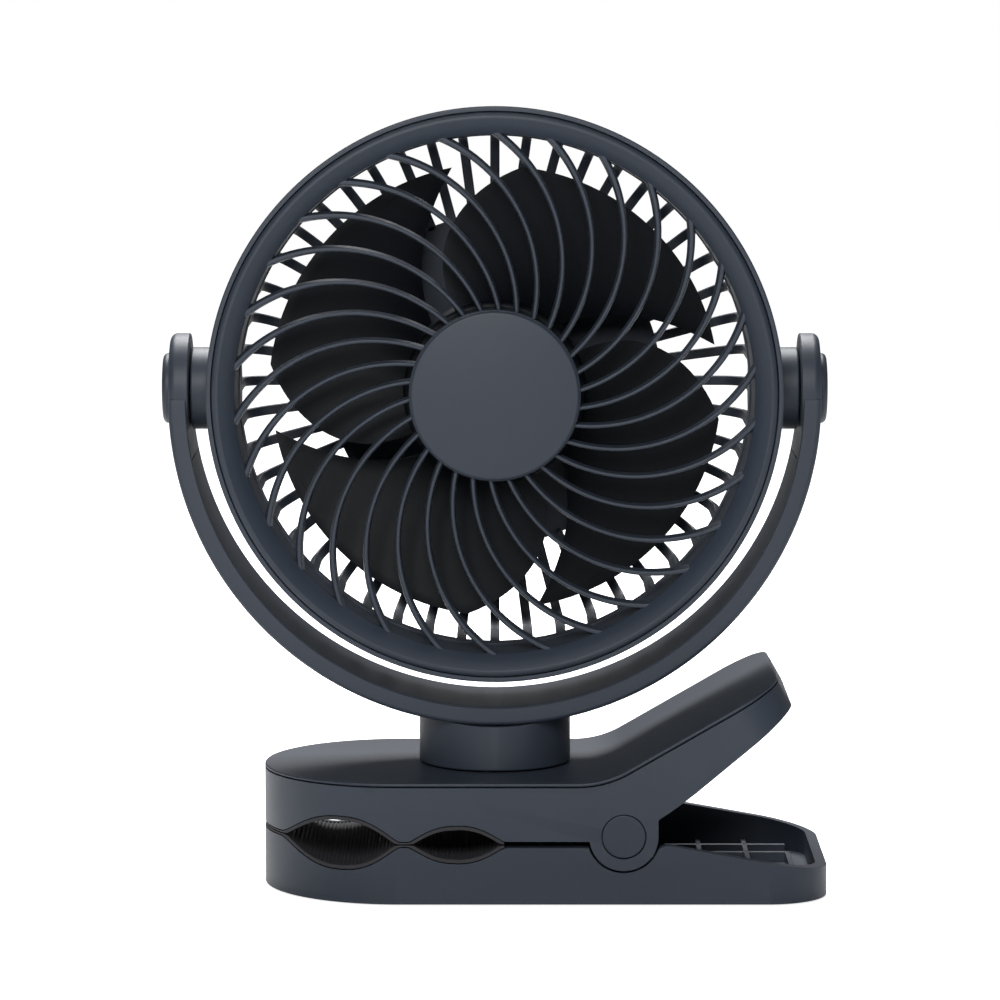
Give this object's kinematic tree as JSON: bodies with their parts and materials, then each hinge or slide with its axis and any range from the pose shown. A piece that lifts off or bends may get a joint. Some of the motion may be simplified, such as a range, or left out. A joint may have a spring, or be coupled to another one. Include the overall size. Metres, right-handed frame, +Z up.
{
  "type": "clip fan",
  "caption": "Clip-on fan that also stands on its clip: sprung jaws with lens-shaped mouths, turning neck, half-round yoke and tilting round head with a swirl grille.",
  "frame": {"origin": "on the resting surface, under the middle of the neck's turning axis", "axes": "+Z up along the neck, front of the grille towards -Y, clip's squeeze lever towards +X"},
  "size_m": [0.1738, 0.072, 0.2055],
  "materials": {
    "shell_plastic": "satin",
    "dark_plastic": "satin",
    "pad_rubber": "matte",
    "cable_jacket": "matte",
    "steel": "satin",
    "magnet": "matte",
    "stator_copper": "satin",
    "board": "satin",
    "battery_foil": "satin",
    "light_lens": "gloss"
  },
  "bodies": {
    "lower_jaw": {"lower_jaw_shell": "shell_plastic", "lower_jaw_pad": "pad_rubber", "base_cover": "shell_plastic", "hinge_pin": "steel", "clip_spring": "steel", "foot_1": "pad_rubber", "foot_2": "pad_rubber", "foot_3": "pad_rubber", "foot_4": "pad_rubber", "base_screw_1": "steel", "base_screw_2": "steel", "base_screw_3": "steel", "base_screw_4": "steel"},
    "upper_jaw": {"upper_jaw_shell": "shell_plastic", "top_cover": "shell_plastic", "upper_jaw_pad": "pad_rubber", "hinge_cap_front": "shell_plastic", "hinge_cap_rear": "shell_plastic", "battery": "battery_foil", "control_board": "board", "charging_port": "steel", "button_switch": "dark_plastic", "indicator_light": "light_lens"},
    "button": {"power_button": "dark_plastic"},
    "yoke": {"neck": "shell_plastic", "swivel_spindle": "steel", "swivel_washer": "steel", "swivel_nut": "steel", "yoke_frame": "shell_plastic", "yoke_inner_cover": "shell_plastic", "yoke_cable": "cable_jacket", "pivot_cap_left": "shell_plastic", "pivot_cap_right": "shell_plastic", "pivot_washer_left": "steel", "pivot_washer_right": "steel"},
    "head": {"front_grille": "shell_plastic", "grille_disc": "shell_plastic", "rear_shell": "shell_plastic", "motor_base": "dark_plastic", "motor_stator": "stator_copper", "bearing_front": "steel", "bearing_rear": "steel", "pivot_screw_left": "steel", "pivot_screw_right": "steel", "rear_screw_1": "steel", "rear_screw_2": "steel", "rear_screw_3": "steel", "rear_screw_4": "steel"},
    "impeller": {"impeller": "dark_plastic", "rotor_cup": "steel", "magnet_ring": "magnet", "motor_shaft": "steel"}
  },
  "joints": [
    {"name": "clip_hinge", "type": "hinge", "parent": "lower_jaw", "child": "upper_jaw", "pos_m": [0.0333, 0, 0.0181], "axis": [0, 1, 0], "range_deg": [0, 32], "stiffness_Nm_per_rad": 0.8, "springref_deg": -57.3, "deforming": ["clip_spring"]},
    {"name": "yoke_pan", "type": "hinge", "parent": "upper_jaw", "child": "yoke", "pos_m": [0, 0, 0.0324], "axis": [0, 0, 1], "range_deg": [-165, 165]},
    {"name": "head_tilt", "type": "hinge", "parent": "yoke", "child": "head", "pos_m": [0, 0, 0.131], "axis": [1, 0, 0], "range_deg": [-90, 90]},
    {"name": "impeller_spin", "type": "hinge", "parent": "head", "child": "impeller", "pos_m": [0, 0, 0.131], "axis": [0, 1, 0], "continuous": true},
    {"name": "power_button_press", "type": "slide", "parent": "upper_jaw", "child": "button", "axis": [0, -1, 0], "range_m": [0, 0.0008], "stiffness_N_per_m": 1500, "springref_m": -0.0004}
  ]
}
